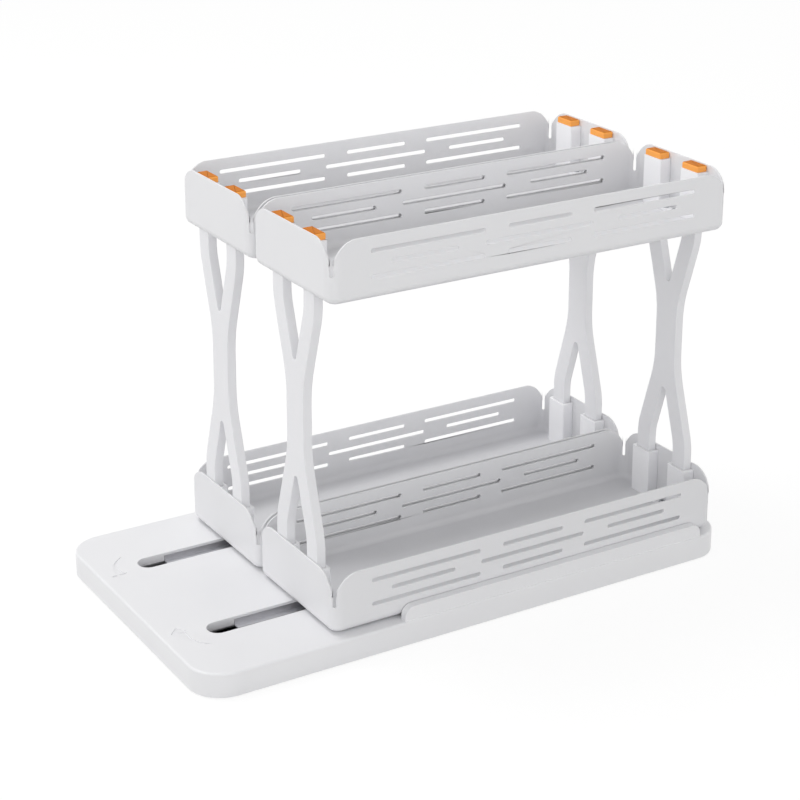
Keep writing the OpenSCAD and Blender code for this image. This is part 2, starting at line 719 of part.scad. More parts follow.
// Thin round plate under the lower tray inside the glide ring, with the pin that goes down the slot
module pivot_plate(side) {
  pin_len = lower_z - keeper_z1;
  color("silver") at_pivot(side, keeper_z1) difference() {
    union() {
      cylinder(d = pin_d, h = pin_len);
      translate([0, 0, pin_len - glide_t]) cylinder(d = glide_hole_d - 2 * seat_gap, h = glide_t);
    }
    translate([0, 0, -cut_over])
      cylinder(d = pivot_screw_d + seat_gap, h = cut_over + pivot_screw_len + seat_gap);
  }
}

// Round bush in the slot: it slides with the column, and the column turns on it
module pivot_shoe(side) {
  color("whitesmoke") at_pivot(side, shoe_z0) difference() {
    cylinder(d = shoe_d, h = shoe_z1 - shoe_z0);
    translate([0, 0, -cut_over]) cylinder(d = pin_d + 2 * pin_fit, h = shoe_z1 - shoe_z0 + 2 * cut_over);
  }
}

module retaining_washer(side) {
  color("silver") at_pivot(side, keeper_z0) difference() {
    cylinder(d = keeper_d, h = keeper_t);
    translate([0, 0, -cut_over]) cylinder(d = pivot_screw_d + 2 * seat_gap, h = keeper_t + 2 * cut_over);
  }
}

module pivot_screw(side) {
  color("gray") at_pivot(side, keeper_z0)
    screw(pivot_screw_d, keeper_t + pivot_screw_len, pivot_head_d, pivot_head_h);
}

base_shell();
base_cover();
guide_rail(-1);  // guide_rail_left
guide_rail(1);  // guide_rail_right
rail_screws();
base_screws();
rubber_feet();
lower_tray(-1);  // left_lower_tray
upper_tray(-1);  // left_upper_tray
upright(-1, -1);  // left_front_upright
upright(-1, 1);  // left_rear_upright
lower_sockets(-1, -1);  // left_lower_front_sockets
lower_sockets(-1, 1);  // left_lower_rear_sockets
upper_posts(-1, -1);  // left_upper_front_posts
upper_posts(-1, 1);  // left_upper_rear_posts
cap(-1, -1, 1);  // left_front_outer_cap
cap(-1, -1, -1);  // left_front_inner_cap
cap(-1, 1, 1);  // left_rear_outer_cap
cap(-1, 1, -1);  // left_rear_inner_cap
bracket_screws(-1);  // left_bracket_screws
glide_ring(-1);  // left_glide_ring
pivot_plate(-1);  // left_pivot_plate
pivot_shoe(-1);  // left_pivot_shoe
retaining_washer(-1);  // left_retaining_washer
pivot_screw(-1);  // left_pivot_screw
lower_tray(1);  // right_lower_tray
upper_tray(1);  // right_upper_tray
upright(1, -1);  // right_front_upright
upright(1, 1);  // right_rear_upright
lower_sockets(1, -1);  // right_lower_front_sockets
lower_sockets(1, 1);  // right_lower_rear_sockets
upper_posts(1, -1);  // right_upper_front_posts
upper_posts(1, 1);  // right_upper_rear_posts
cap(1, -1, 1);  // right_front_outer_cap
cap(1, -1, -1);  // right_front_inner_cap
cap(1, 1, 1);  // right_rear_outer_cap
cap(1, 1, -1);  // right_rear_inner_cap
bracket_screws(1);  // right_bracket_screws
glide_ring(1);  // right_glide_ring
pivot_plate(1);  // right_pivot_plate
pivot_shoe(1);  // right_pivot_shoe
retaining_washer(1);  // right_retaining_washer
pivot_screw(1);  // right_pivot_screw
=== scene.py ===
"""Two-tier pull-out storage rack, dressed for a studio picture. All lengths are in metres."""
import json
import math

import bmesh
import bpy
import numpy as np
from mathutils import Matrix, Vector

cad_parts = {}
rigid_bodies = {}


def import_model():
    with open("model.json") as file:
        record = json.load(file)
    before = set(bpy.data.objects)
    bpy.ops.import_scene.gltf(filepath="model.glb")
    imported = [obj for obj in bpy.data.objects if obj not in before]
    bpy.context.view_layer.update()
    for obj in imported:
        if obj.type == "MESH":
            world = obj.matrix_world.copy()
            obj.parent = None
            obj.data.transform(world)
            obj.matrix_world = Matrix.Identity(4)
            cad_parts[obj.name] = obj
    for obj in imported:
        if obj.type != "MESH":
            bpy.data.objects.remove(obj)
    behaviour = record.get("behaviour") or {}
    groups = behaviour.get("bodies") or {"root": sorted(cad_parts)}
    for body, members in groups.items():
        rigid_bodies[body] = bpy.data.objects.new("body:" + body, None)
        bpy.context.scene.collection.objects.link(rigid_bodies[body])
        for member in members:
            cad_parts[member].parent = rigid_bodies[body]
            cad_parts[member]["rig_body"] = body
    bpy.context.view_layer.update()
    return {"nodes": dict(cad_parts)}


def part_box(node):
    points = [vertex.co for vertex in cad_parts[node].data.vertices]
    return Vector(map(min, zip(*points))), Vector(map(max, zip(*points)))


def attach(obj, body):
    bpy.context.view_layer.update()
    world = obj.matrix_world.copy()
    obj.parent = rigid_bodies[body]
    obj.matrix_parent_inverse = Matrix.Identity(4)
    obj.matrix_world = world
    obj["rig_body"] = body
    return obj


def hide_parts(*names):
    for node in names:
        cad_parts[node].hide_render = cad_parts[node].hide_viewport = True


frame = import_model()
nodes = frame["nodes"]
MM = 0.001


# The camera of the photograph, fitted to the straight edges of the rack: a long lens about 1.3 m
# away, looking down at the near long side and the pull-out end.
PHOTO_PX = 800
LENS_PX = 2032.472
AXIS_PX = (404.125, 237.442)
CAMERA_AT = Vector((1086.466, -657.627, 634.836)) * MM
CAMERA_TO = Vector((18.422, -6.713, 238.592)) * MM
CAMERA_ROLL = math.radians(0.124)
SENSOR_MM = 36

camera_data = bpy.data.cameras.new("studio_camera")
camera_data.sensor_width = SENSOR_MM
camera_data.lens = LENS_PX / PHOTO_PX * SENSOR_MM
camera_data.shift_x = (PHOTO_PX / 2 - AXIS_PX[0]) / PHOTO_PX
camera_data.shift_y = (AXIS_PX[1] - PHOTO_PX / 2) / PHOTO_PX
camera_data.clip_end = 20
camera = bpy.data.objects.new("studio_camera", camera_data)
aim = (CAMERA_TO - CAMERA_AT).to_track_quat("-Z", "Y").to_matrix().to_4x4()
camera.matrix_world = Matrix.Translation(CAMERA_AT) @ aim @ Matrix.Rotation(CAMERA_ROLL, 4, "Z")
bpy.context.scene.collection.objects.link(camera)
bpy.context.scene.camera = camera
bpy.context.scene.view_settings.view_transform = "Standard"


# Studio floor of matt pale grey paper, which lights the rack gently from below. To the camera and in
# reflections it is white, with the rack's soft contact shadow left on it.
def rgb(code):
    """Linear colour with alpha from an sRGB hex value: each channel is divided by 12.92 below
    0.04045, and otherwise raised as ((c + 0.055) / 1.055) to the power 2.4."""
    srgb = np.array([int(code[i:i + 2], 16) for i in (1, 3, 5)]) / 255
    linear = np.where(srgb <= 0.04045, srgb / 12.92, ((srgb + 0.055) / 1.055) ** 2.4)
    return (*linear, 1)


def add_node(tree, kind, links=(), **settings):
    """Adds a shader node. settings are its own properties, or inputs by their names in lower case
    with underscores. links are (input name or number, output socket) pairs."""
    node = tree.nodes.new(kind)
    own = [name for name in settings if name in node.bl_rna.properties and name != "color"]
    for name in own:
        setattr(node, name, settings.pop(name))
    sockets = {s.name.lower().replace(" ", "_"): s for s in reversed(node.inputs) if s.enabled}
    for name, value in settings.items():
        sockets[name].default_value = value
    for name, output in links:
        tree.links.new(output, sockets[name] if name in sockets else node.inputs[name])
    return node


def seen_directly(tree):
    """1 for the rays that show the background: camera, reflected and refracted ones. Otherwise 0."""
    path = add_node(tree, "ShaderNodeLightPath")
    bent = add_node(tree, "ShaderNodeMath",
                    [(0, path.outputs["Is Glossy Ray"]), (1, path.outputs["Is Transmission Ray"])],
                    operation="MAXIMUM")
    return add_node(tree, "ShaderNodeMath", [(0, path.outputs["Is Camera Ray"]), (1, bent.outputs[0])],
                    operation="MAXIMUM").outputs[0]


FLOOR_SIZE = 6
FLOOR_EVEN_SHARE = 0.72
FLOOR_WHITE = 1.2
FIBRES_PER_MM = 0.9


def floor_paper():
    """Matt pale grey paper. FLOOR_EVEN_SHARE of what the camera sees is an even white of strength
    FLOOR_WHITE. The rest is the paper's own shading, so the contact shadow stays as a soft grey."""
    paper = bpy.data.materials.new("matt pale grey studio paper")
    paper.use_nodes = True
    tree = paper.node_tree
    tree.nodes.clear()
    place = add_node(tree, "ShaderNodeTexCoord").outputs["Object"]
    fibres = add_node(tree, "ShaderNodeTexNoise", [("vector", place)], scale=FIBRES_PER_MM / MM, detail=3)
    grain = add_node(tree, "ShaderNodeBump", [("height", fibres.outputs[0])], strength=0.05,
                     distance=0.1 * MM)
    sheet = add_node(tree, "ShaderNodeBsdfDiffuse", [("normal", grain.outputs[0])], color=rgb("#CDCDCD"))
    even = add_node(tree, "ShaderNodeEmission", color=(1, 1, 1, 1), strength=FLOOR_WHITE)
    share = add_node(tree, "ShaderNodeMath", [(0, seen_directly(tree))], operation="MULTIPLY")
    share.inputs[1].default_value = FLOOR_EVEN_SHARE
    mix = add_node(tree, "ShaderNodeMixShader",
                   [(0, share.outputs[0]), (1, sheet.outputs[0]), (2, even.outputs[0])])
    add_node(tree, "ShaderNodeOutputMaterial", [("surface", mix.outputs[0])])
    return paper


half = FLOOR_SIZE / 2
floor_mesh = bpy.data.meshes.new("studio_floor")
floor_mesh.from_pydata([(-half, -half, 0), (half, -half, 0), (half, half, 0), (-half, half, 0)],
                       [], [(0, 1, 2, 3)])
floor_mesh.materials.append(floor_paper())
floor = bpy.data.objects.new("studio_floor", floor_mesh)
bpy.context.scene.collection.objects.link(floor)


# Soft, even studio room. Its walls are lit more than its ceiling, so light gets in between the two
# tiers. A high soft box on the far side lights the tops, and two low ones the near sides.
HORIZON_LEVEL, CEILING_LEVEL = 1.6, 0.5
CEILING_FROM = 0.6

world = bpy.data.worlds.new("white studio room")
bpy.context.scene.world = world
world.use_nodes = True
tree = world.node_tree
tree.nodes.clear()
direction = add_node(tree, "ShaderNodeTexCoord").outputs["Generated"]
upward = add_node(tree, "ShaderNodeSeparateXYZ", [("vector", direction)]).outputs["Z"]
level = add_node(tree, "ShaderNodeMapRange", [("value", upward)], from_max=CEILING_FROM,
                 to_min=HORIZON_LEVEL, to_max=CEILING_LEVEL)
ambient = add_node(tree, "ShaderNodeBackground", [("strength", level.outputs[0])], color=rgb("#FFFFFE"))
white = add_node(tree, "ShaderNodeBackground", color=(1, 1, 1, 1), strength=1)
mix = add_node(tree, "ShaderNodeMixShader",
               [(0, seen_directly(tree)), (1, ambient.outputs[0]), (2, white.outputs[0])])
add_node(tree, "ShaderNodeOutputWorld", [("surface", mix.outputs[0])])


def area_lamp(name, at, to, size, power):
    """Square soft box at one point, aimed at another, with its power in watts."""
    data = bpy.data.lights.new(name, "AREA")
    data.size = size
    data.energy = power
    lamp = bpy.data.objects.new(name, data)
    lamp.location = at
    lamp.rotation_euler = (Vector(to) - Vector(at)).to_track_quat("-Z", "Y").to_euler()
    bpy.context.scene.collection.objects.link(lamp)


area_lamp("high_soft_box", (-0.8, -0.55, 1.9), (0, 0, 0.15), 0.9, 14.5)
area_lamp("front_soft_box", (0.15, -2, 0.6), (0, 0, 0.12), 0.8, 2.4)
area_lamp("side_soft_box", (1.95, -0.6, 0.45), (0, 0, 0.12), 0.8, 4.2)


# Base board: one moulding of white ABS, open below, with the two slots, the arrows beside them and
# the hollow side lips. Its faces carry a fine spark texture and its edges are softly rounded.
def moulded_plastic(name, code, second, grain_mm, depth_mm, rough):
    """Moulded ABS: the fine texture of an eroded steel mould, a gloss that varies a little with it,
    and a slight change of tone over some centimetres. grain_mm is the texture's spacing, drawn
    coarser than the real one so that it shows, and depth_mm its depth."""
    plastic = bpy.data.materials.new(name)
    plastic.use_nodes = True
    tree = plastic.node_tree
    skin = tree.nodes["Principled BSDF"]
    skin.inputs["IOR"].default_value = 1.53
    place = add_node(tree, "ShaderNodeTexCoord").outputs["Object"]
    flow = add_node(tree, "ShaderNodeTexNoise", [("vector", place)], scale=1000 / 45, detail=3)
    tone = add_node(tree, "ShaderNodeMix", [("factor", flow.outputs[0])], data_type="RGBA", a=rgb(code),
                    b=rgb(second))
    tree.links.new(tone.outputs["Result"], skin.inputs["Base Color"])
    grain = add_node(tree, "ShaderNodeTexNoise", [("vector", place)], scale=1000 / grain_mm, detail=2)
    gloss = add_node(tree, "ShaderNodeMapRange", [("value", grain.outputs[0])], to_min=rough - 0.05,
                     to_max=rough + 0.07)
    tree.links.new(gloss.outputs[0], skin.inputs["Roughness"])
    bump = add_node(tree, "ShaderNodeBump", [("height", grain.outputs[0])], strength=0.35,
                    distance=depth_mm * MM)
    tree.links.new(bump.outputs[0], skin.inputs["Normal"])
    return plastic


def finish_piece(piece, stands_for, material):
    """Puts a new piece in the scene, on the body of the CAD node that it stands for."""
    piece.data.materials.clear()
    piece.data.materials.append(material)
    bpy.context.scene.collection.objects.link(piece)
    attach(piece, nodes[stands_for]["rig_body"])
    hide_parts(stands_for)


def keep_flats_flat(piece):
    """Lets large faces set the shading at their edges, so only the small round ones look curved."""
    even = piece.modifiers.new("flat faces stay flat", "WEIGHTED_NORMAL")
    even.weight = 100
    even.keep_sharp = True


def softened(name, material, radius, segments=2, sharp_deg=38):
    """Copy of a CAD node with its doubles merged and its flat faces joined again. A Bevel rounds
    every edge that turns by more than sharp_deg to the radius, in metres."""
    mesh = nodes[name].data.copy()
    form = bmesh.new()
    form.from_mesh(mesh)
    bmesh.ops.remove_doubles(form, verts=form.verts, dist=1e-6)
    bmesh.ops.dissolve_limit(form, angle_limit=math.radians(0.5), verts=form.verts, edges=form.edges)
    form.to_mesh(mesh)
    form.free()
    mesh.shade_smooth()
    piece = bpy.data.objects.new(name + "_finished", mesh)
    bevel = piece.modifiers.new("rounded edges", "BEVEL")
    bevel.width = radius
    bevel.segments = segments
    bevel.limit_method = "ANGLE"
    bevel.angle_limit = math.radians(sharp_deg)
    bevel.use_clamp_overlap = False
    bevel.miter_outer = "MITER_ARC"
    keep_flats_flat(piece)
    finish_piece(piece, name, material)


base_abs = moulded_plastic("moulded white ABS with a fine spark texture", "#EFEFF1", "#EAEAED",
                           0.8, 0.008, 0.31)
softened("base_shell", base_abs, 0.14 * MM)


# Trays: deep-drawn sheet steel with punched slots and corner notches, powder-coated white. The
# coat is satin, rounds the sheared rims and shows the faint waviness called orange peel.
def powder_coat(name, code, second):
    """Polyester powder coat: orange peel some 2 mm across, a satin gloss with a fine grain, and a
    tone that hardly varies."""
    coat = bpy.data.materials.new(name)
    coat.use_nodes = True
    tree = coat.node_tree
    skin = tree.nodes["Principled BSDF"]
    skin.inputs["IOR"].default_value = 1.5
    place = add_node(tree, "ShaderNodeTexCoord").outputs["Object"]
    cloud = add_node(tree, "ShaderNodeTexNoise", [("vector", place)], scale=1000 / 60, detail=2)
    tone = add_node(tree, "ShaderNodeMix", [("factor", cloud.outputs[0])], data_type="RGBA", a=rgb(code),
                    b=rgb(second))
    tree.links.new(tone.outputs["Result"], skin.inputs["Base Color"])
    peel = add_node(tree, "ShaderNodeTexNoise", [("vector", place)], scale=1000 / 2, detail=1)
    fine = add_node(tree, "ShaderNodeTexNoise", [("vector", place)], scale=1000 / 0.4, detail=2)
    gloss = add_node(tree, "ShaderNodeMapRange", [("value", fine.outputs[0])], to_min=0.36, to_max=0.46)
    tree.links.new(gloss.outputs[0], skin.inputs["Roughness"])
    wavy = add_node(tree, "ShaderNodeBump", [("height", peel.outputs[0])], strength=0.3,
                    distance=0.02 * MM)
    tree.links.new(wavy.outputs[0], skin.inputs["Normal"])
    return coat


tray_coat = powder_coat("satin white powder coat on steel sheet", "#E6E6E8", "#E2E2E5")
for name in sorted(n for n in nodes if n.endswith("_tray")):
    softened(name, tray_coat, 0.45 * MM)


# Uprights: X-shaped plates of white ABS, thick enough to be stiff. Their legs stand in the sockets
# of the lower tray and come up through the upper tray's floor into the posts.
UPRIGHT = dict(half_w=26.4, waist=10.8, branch=13.2, waist_len=12.2, waist_r=75.98, slope=34.46,
               bend_r=48.58, crotch_r=2.4)
UPRIGHT_EDGE_MM = 0.5


def arc_points(centre, radius, start, end, steps=14):
    """Points of an arc: the centre plus the radius times the cosine and sine of angles evenly
    spaced from start to end, in radians."""
    turn = np.linspace(start, end, steps)
    return np.array(centre) + radius * np.stack([np.cos(turn), np.sin(turn)], 1)


def upright_outline(above, below):
    """Closed outline of an upright in X and Z about its waist, anticlockwise, in millimetres. The
    right edge is waist, bend, slope, bend, leg. The fork between two legs runs parallel to it, one
    branch width in, down to a rounded crotch. Everything is mirrored left and below."""
    u = UPRIGHT
    bends, widening = u["waist_r"] + u["bend_r"], u["half_w"] - u["waist"]
    lean = math.atan2(bends, u["slope"]) + math.asin((widening - bends) / math.hypot(bends, u["slope"]))
    foot = np.array([u["waist"] + u["waist_r"] * (1 - math.cos(lean)),
                     u["waist_len"] + u["waist_r"] * math.sin(lean)])
    top = foot[1] + u["slope"] * math.cos(lean) + u["bend_r"] * math.sin(lean)
    crotch = foot[1] + (u["branch"] + u["crotch_r"] - foot[0] * math.cos(lean)) / math.sin(lean)
    edge = np.concatenate([
        arc_points((u["waist"] + u["waist_r"], u["waist_len"]), u["waist_r"], math.pi, math.pi - lean),
        arc_points((u["half_w"] - u["bend_r"], top), u["bend_r"], -lean, 0)])
    fork = np.concatenate([
        arc_points((u["half_w"] - u["bend_r"], top), u["bend_r"] - u["branch"], 0, -lean),
        arc_points((0, crotch), u["crotch_r"], -lean, -math.pi / 2, 8)])
    flip = np.array([-1, 1])
    right = np.concatenate([[(u["half_w"], -below)], edge[::-1] * (1, -1), edge, [(u["half_w"], above)]])
    inner = np.concatenate([[(u["half_w"] - u["branch"], above)], fork])
    lower = np.concatenate([[(u["half_w"] - u["branch"], -below)], fork * (1, -1)])
    upper_half = [right, inner, inner[-2::-1] * flip]
    return np.concatenate([*upper_half, right[::-1] * flip, lower * flip, lower[-2::-1]])


def moulded_prism(outline, profile):
    """Solid with one outline and rounded edges. Each row of profile is (inset, height): the outline
    is moved inwards by the inset, along the mean normal of its two sides divided by 1 plus their
    dot product, and set at the height. The first and last loops are closed by flat faces."""
    side = np.roll(outline, -1, 0) - outline
    side /= np.linalg.norm(side, axis=1)[:, None]
    normal = np.stack([side[:, 1], -side[:, 0]], 1)
    before = np.roll(normal, 1, 0)
    mitre = (normal + before) / (1 + (normal * before).sum(1))[:, None]
    inset, height = np.array(profile).T
    loops = outline[None] - inset[:, None, None] * mitre[None]
    points = np.concatenate([loops, np.broadcast_to(height[:, None, None], loops.shape[:2] + (1,))], 2)
    rows, count = loops.shape[:2]
    a = np.arange((rows - 1) * count).reshape(rows - 1, count)
    quads = np.stack([a, np.roll(a, -1, 1), np.roll(a, -1, 1) + count, a + count], -1).reshape(-1, 4)
    ends = [list(range(count))[::-1], list(range((rows - 1) * count, rows * count))]
    return points.reshape(-1, 3), quads.tolist() + ends


def rounded_profile(low, high, r, steps=4):
    """Rows of (inset, height) up a side: a quarter round of radius r, the flat side, and another
    quarter round. The inset is r minus r times the sine, the height r minus r times the cosine."""
    a = np.linspace(0, math.pi / 2, steps)
    inset, rise = r * (1 - np.sin(a)), r * (1 - np.cos(a))
    return np.stack([np.concatenate([inset, inset[::-1]]),
                     np.concatenate([low + rise, high - rise[::-1]])], 1)


def new_mesh(name, points, faces, sharp_deg=30):
    """Mesh object from points in metres, smooth apart from edges that turn by more than sharp_deg."""
    mesh = bpy.data.meshes.new(name)
    mesh.from_pydata(points.tolist(), [], faces)
    mesh.update()
    mesh.shade_smooth()
    mesh.set_sharp_from_angle(angle=math.radians(sharp_deg))
    piece = bpy.data.objects.new(name, mesh)
    keep_flats_flat(piece)
    return piece


satin_abs = moulded_plastic("moulded white ABS, satin", "#E9E9EC", "#E5E5E8", 1.2, 0.006, 0.36)
WAIST_Z = 0.1458
for name in sorted(n for n in nodes if n.endswith("_upright")):
    low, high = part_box(name)
    outline = upright_outline((high.z - WAIST_Z) / MM, (WAIST_Z - low.z) / MM) * MM
    points, faces = moulded_prism(outline, rounded_profile(0, high.y - low.y, UPRIGHT_EDGE_MM * MM))
    place = np.array([(low.x + high.x) / 2, high.y, WAIST_Z])
    points = np.stack([points[:, 0], -points[:, 2], points[:, 1]], 1) + place
    finish_piece(new_mesh(name + "_moulded", points, faces), name, satin_abs)


# Sockets and posts: ABS mouldings screwed to the trays' floors through a strip between each pair.
# The legs stand in them. Their upright edges are rounded and their faces have the uprights' satin.
holder_abs = moulded_plastic("moulded white ABS, smooth satin", "#FBFBFD", "#F7F7FA", 1.2, 0.005, 0.33)
for name in sorted(n for n in nodes if n.endswith(("_sockets", "_posts"))):
    softened(name, holder_abs, 0.3 * MM)


# Caps: orange ABS plugs with a bevelled top, pushed into the tops of the posts. The sides are
# polished and the top is textured. Painted light and shade: the sides get a lighter orange and the top a
# deeper one.
CAP_HEIGHT_MM = 4.3
CAP_CORNER_MM = 0.7
CAP_BEVEL_MM = 0.8
# Depths below the caps' top where its texture and its painted deeper orange begin and are full
TOP_FROM_MM, TOP_FULL_MM = 0.45, 0.1


def cap_plastic(top_z):
    """Orange ABS with painted light and shade: polished sides painted a lighter orange, and a
    textured, rougher top painted a deeper orange. The top's band begins and is full at the two depths
    below top_z given above."""
    plastic = bpy.data.materials.new("moulded orange ABS, textured top")
    plastic.use_nodes = True
    tree = plastic.node_tree
    skin = tree.nodes["Principled BSDF"]
    skin.inputs["IOR"].default_value = 1.53
    skin.inputs["Specular IOR Level"].default_value = 0.12
    place = add_node(tree, "ShaderNodeTexCoord").outputs["Object"]
    height = add_node(tree, "ShaderNodeSeparateXYZ", [("vector", place)]).outputs["Z"]
    is_top = add_node(tree, "ShaderNodeMapRange", [("value", height)],
                      from_min=top_z - TOP_FROM_MM * MM, from_max=top_z - TOP_FULL_MM * MM)
    grain = add_node(tree, "ShaderNodeTexNoise", [("vector", place)], scale=1000 / 0.6, detail=2)
    # Painted light: the sides get a lighter orange than the top
    lighter_painted_sides = add_node(tree, "ShaderNodeMix", [("factor", grain.outputs[0])], data_type="RGBA",
                     a=rgb("#FFB25E"), b=rgb("#FDA752"))
    # Painted shade: the top is blended to a deeper orange by height
    tone = add_node(tree, "ShaderNodeMix",
                    [("factor", is_top.outputs[0]), ("a", lighter_painted_sides.outputs["Result"])],
                    data_type="RGBA", b=rgb("#D27A14"))
    tree.links.new(tone.outputs["Result"], skin.inputs["Base Color"])
    gloss = add_node(tree, "ShaderNodeMapRange", [("value", is_top.outputs[0])], to_min=0.34, to_max=0.55)
    tree.links.new(gloss.outputs[0], skin.inputs["Roughness"])
    bump = add_node(tree, "ShaderNodeBump", [("height", grain.outputs[0])], strength=0.4,
                    distance=0.01 * MM)
    tree.links.new(bump.outputs[0], skin.inputs["Normal"])
    return plastic


def rounded_rectangle(half_x, half_y, r, steps=6):
    """Closed outline, anticlockwise: four quarter arcs of radius r about the inner corners."""
    turns = np.arange(4) * math.pi / 2
    corners = np.array([(1, 1), (-1, 1), (-1, -1), (1, -1)]) * (half_x - r, half_y - r)
    return np.concatenate([arc_points(c, r, t, t + math.pi / 2, steps) for c, t in zip(corners, turns)])


cap_top_z = max(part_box(n)[1].z for n in nodes if n.endswith("_cap"))
orange_abs = cap_plastic(cap_top_z)
for name in sorted(n for n in nodes if n.endswith("_cap")):
    low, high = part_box(name)
    outline = rounded_rectangle((high.x - low.x) / 2, (high.y - low.y) / 2, CAP_CORNER_MM * MM)
    foot = high.z - CAP_HEIGHT_MM * MM
    b = CAP_BEVEL_MM * MM
    # A small round at the foot, the upright side, and the bevel with both of its edges softened
    profile = [(0.4 * b, foot), (0.1 * b, foot + 0.1 * b), (0, foot + 0.4 * b), (0, high.z - 1.15 * b),
               (0.08 * b, high.z - 0.92 * b), (0.9 * b, high.z - 0.1 * b), (1.15 * b, high.z)]
    points, faces = moulded_prism(outline, profile)
    points = points + np.array([(low.x + high.x) / 2, (low.y + high.y) / 2, 0])
    finish_piece(new_mesh(name + "_moulded", points, faces, 50), name, orange_abs)


# Guide rails: bent steel channels under the two slots, zinc-plated. The column's washer slides under
# their floor, and the slit in it guides the pin.
def plated_steel(name, code, second, rough, streak_mm):
    """Zinc-plated steel: a soft, slightly cloudy metal, with fine streaks along the sheet's rolling
    direction that are drawn coarser than the real ones so that they show."""
    steel = bpy.data.materials.new(name)
    steel.use_nodes = True
    tree = steel.node_tree
    skin = tree.nodes["Principled BSDF"]
    skin.inputs["Metallic"].default_value = 1
    place = add_node(tree, "ShaderNodeTexCoord").outputs["Object"]
    along = add_node(tree, "ShaderNodeMapping", [("vector", place)],
                     scale=(1000 / streak_mm, 1000 / 25, 1000 / streak_mm))
    streaks = add_node(tree, "ShaderNodeTexNoise", [("vector", along.outputs[0])], scale=1, detail=3)
    cloud = add_node(tree, "ShaderNodeTexNoise", [("vector", place)], scale=1000 / 9, detail=3)
    tone = add_node(tree, "ShaderNodeMix", [("factor", cloud.outputs[0])], data_type="RGBA", a=rgb(code),
                    b=rgb(second))
    tree.links.new(tone.outputs["Result"], skin.inputs["Base Color"])
    gloss = add_node(tree, "ShaderNodeMapRange", [("value", streaks.outputs[0])], to_min=rough - 0.08,
                     to_max=rough + 0.08)
    tree.links.new(gloss.outputs[0], skin.inputs["Roughness"])
    bump = add_node(tree, "ShaderNodeBump", [("height", streaks.outputs[0])], strength=0.3,
                    distance=0.01 * MM)
    tree.links.new(bump.outputs[0], skin.inputs["Normal"])
    return steel


def dress(name, material):
    """Gives a CAD node that keeps its own shape a better material."""
    mesh = nodes[name].data
    mesh.materials.clear()
    mesh.materials.append(material)


rail_steel = plated_steel("zinc-plated steel strip, rolled", "#DADADD", "#CECED2", 0.5, 0.35)
for name in ("guide_rail_left", "guide_rail_right"):
    dress(name, rail_steel)


# Screws: pan heads with a cross recess, zinc-plated. Twelve hold the cover, four hold the strips at
# each end of a column, and the rails and pivots have their own.
HEAD_D, HEAD_H, SHANK_D = 5, 1.2, 2.5
screw_zinc = plated_steel("zinc-plated steel, turned and rolled", "#C6C8CB", "#B4B6B9", 0.3, 0.5)


def turned(rows, angle, height):
    """Closed form round the Z axis. rows holds one radius per angle, height one height per row: a
    point is the radius times the cosine and sine of its angle. The first and last rows are single
    points on the axis, joined to their neighbours by fans."""
    ring = np.stack([rows[1:-1] * np.cos(angle), rows[1:-1] * np.sin(angle),
                     np.broadcast_to(height[1:-1, None], rows[1:-1].shape)], -1)
    count, n = ring.shape[:2]
    a = np.arange((count - 1) * n).reshape(count - 1, n)
    quads = np.stack([a, a + n, np.roll(a, -1, 1) + n, np.roll(a, -1, 1)], -1).reshape(-1, 4)
    first, last, i = count * n, count * n + 1, np.arange(n)
    top = np.stack([np.full(n, first), i, np.roll(i, -1)], 1)
    end = np.stack([np.full(n, last), np.roll(i, -1) + (count - 1) * n, i + (count - 1) * n], 1)
    points = np.concatenate([ring.reshape(-1, 3), [(0, 0, height[0]), (0, 0, height[-1])]])
    return points, quads.tolist() + top.tolist() + end.tolist()


def screw_form(shank_len):
    """Pan-head screw with its seat at height zero, head up and shank down, in millimetres. The
    recess's edge is the larger of two rectangles' radii: half length over the cosine or half width
    over the sine, whichever is less, and the same turned a quarter. The rows go from the recess's
    floor over the dome of the head to its seat, and down the shank to its blunt tip."""
    reach, arm = 0.3 * HEAD_D, 0.09 * HEAD_D
    corner = math.atan2(arm, reach)
    between = (corner + math.pi / 4) / 2
    part = np.array([0, corner, between, math.pi / 4, math.pi / 2 - between, math.pi / 2 - corner])
    angle = np.concatenate([part + k * math.pi / 2 for k in range(4)])
    c, s = np.abs(np.cos(angle)) + 1e-9, np.abs(np.sin(angle)) + 1e-9
    cross = np.maximum(np.minimum(reach / c, arm / s), np.minimum(reach / s, arm / c))
    r = np.ones_like(angle)
    rows = np.concatenate([[0 * r, 0.8 * cross, cross],
                           np.outer([0.34, 0.45, 0.49, 0.5, 0.5, 0.47], HEAD_D * r),
                           np.outer([0.5, 0.5, 0.3, 0], SHANK_D * r)])
    height = np.array([0.35, 0.35, 1, 0.99, 0.85, 0.6, 0.4, 0.05, 0, 0, 0, 0, 0]) * HEAD_H
    height[10:] -= shank_len - np.array([0.2, 0, 0]) * SHANK_D
    return turned(rows, angle, height)


def repeated(points, faces, places):
    """One form with a copy at every place: its points plus the place, turned from millimetres to
    metres, and its faces with their numbers counted on from copy to copy."""
    every = (np.array(places, float)[:, None] + points[None]).reshape(-1, 3) * MM
    return every, [[v + k * len(points) for v in face] for k in range(len(places)) for face in faces]


def put_screws(name, places, up, shank_len):
    """One mesh with a screw at every place, in millimetres. up is 1 for heads that look up and -1
    for heads that look down, which are turned half round about the X axis."""
    points, faces = screw_form(shank_len)
    every, joined = repeated(points * (1, up, up), faces, places)
    finish_piece(new_mesh(name + "_pan_head", every, joined, 40), name, screw_zinc)


